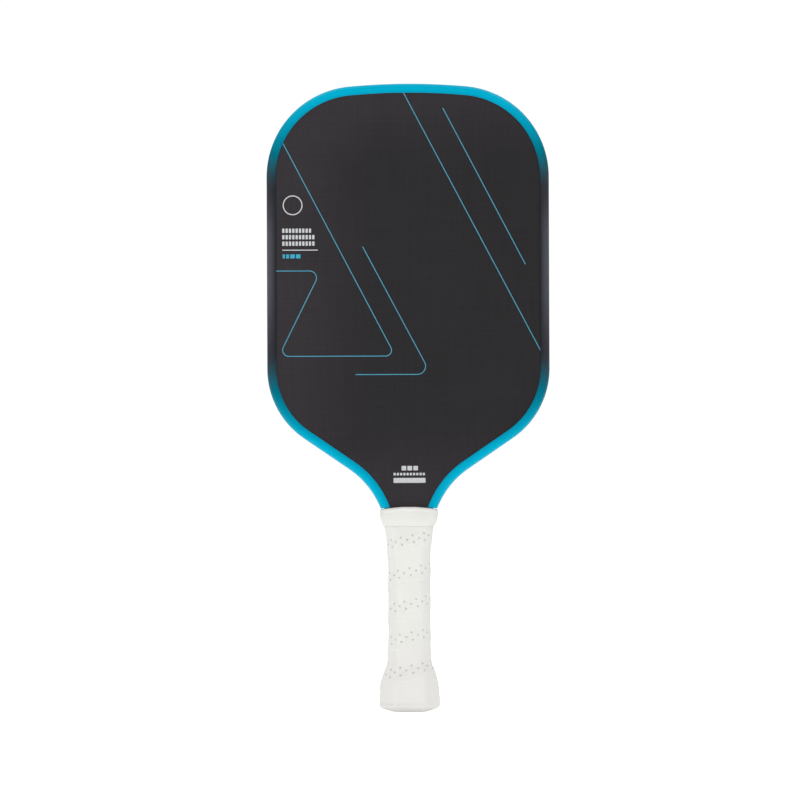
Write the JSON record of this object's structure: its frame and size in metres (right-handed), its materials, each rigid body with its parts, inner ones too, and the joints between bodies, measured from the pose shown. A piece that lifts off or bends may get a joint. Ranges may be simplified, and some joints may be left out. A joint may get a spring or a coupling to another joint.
{
  "type": "pickleball paddle",
  "caption": "Flat racket-sport paddle with rounded-rectangle carbon faces on a honeycomb core, a colour-faded edge guard and a white perforated grip under a rubber collar.",
  "frame": {"origin": "centre of the flat butt end, the lowest point of the upright paddle", "axes": "+Z runs from the butt to the crown, X across the face, Y through the thickness with the front face towards -Y"},
  "size_m": [0.1884, 0.0412, 0.419],
  "materials": {
    "carbon_face": "matt peel-ply carbon laminate",
    "adhesive_film": "cured film",
    "honeycomb_polymer": "natural polypropylene",
    "edge_foam": "cured foam",
    "tongue_foam": "rigid foam",
    "guard_vinyl": "satin, blue at the ends fading to dark grey at the sides",
    "guard_tape": "thin adhesive tape",
    "pallet_foam": "moulded foam",
    "cap_rubber": "satin",
    "staple_steel": "bright wire",
    "badge_plastic": "satin, blank",
    "grip_foam": "matt perforated polyurethane",
    "finishing_vinyl": "thin tape",
    "collar_rubber": "satin"
  },
  "bodies": {
    "root": {"front_face_sheet": "carbon_face", "back_face_sheet": "carbon_face", "front_adhesive_film": "adhesive_film", "back_adhesive_film": "adhesive_film", "honeycomb_core": "honeycomb_polymer", "perimeter_foam": "edge_foam", "tongue_core": "tongue_foam", "edge_guard": "guard_vinyl", "edge_guard_tape": "guard_tape", "front_handle_pallet": "pallet_foam", "back_handle_pallet": "pallet_foam", "butt_cap": "cap_rubber", "front_butt_staple": "staple_steel", "back_butt_staple": "staple_steel", "butt_badge": "badge_plastic", "cushion_grip": "grip_foam", "finishing_tape": "finishing_vinyl", "grip_collar": "collar_rubber"}
  },
  "joints": []
}
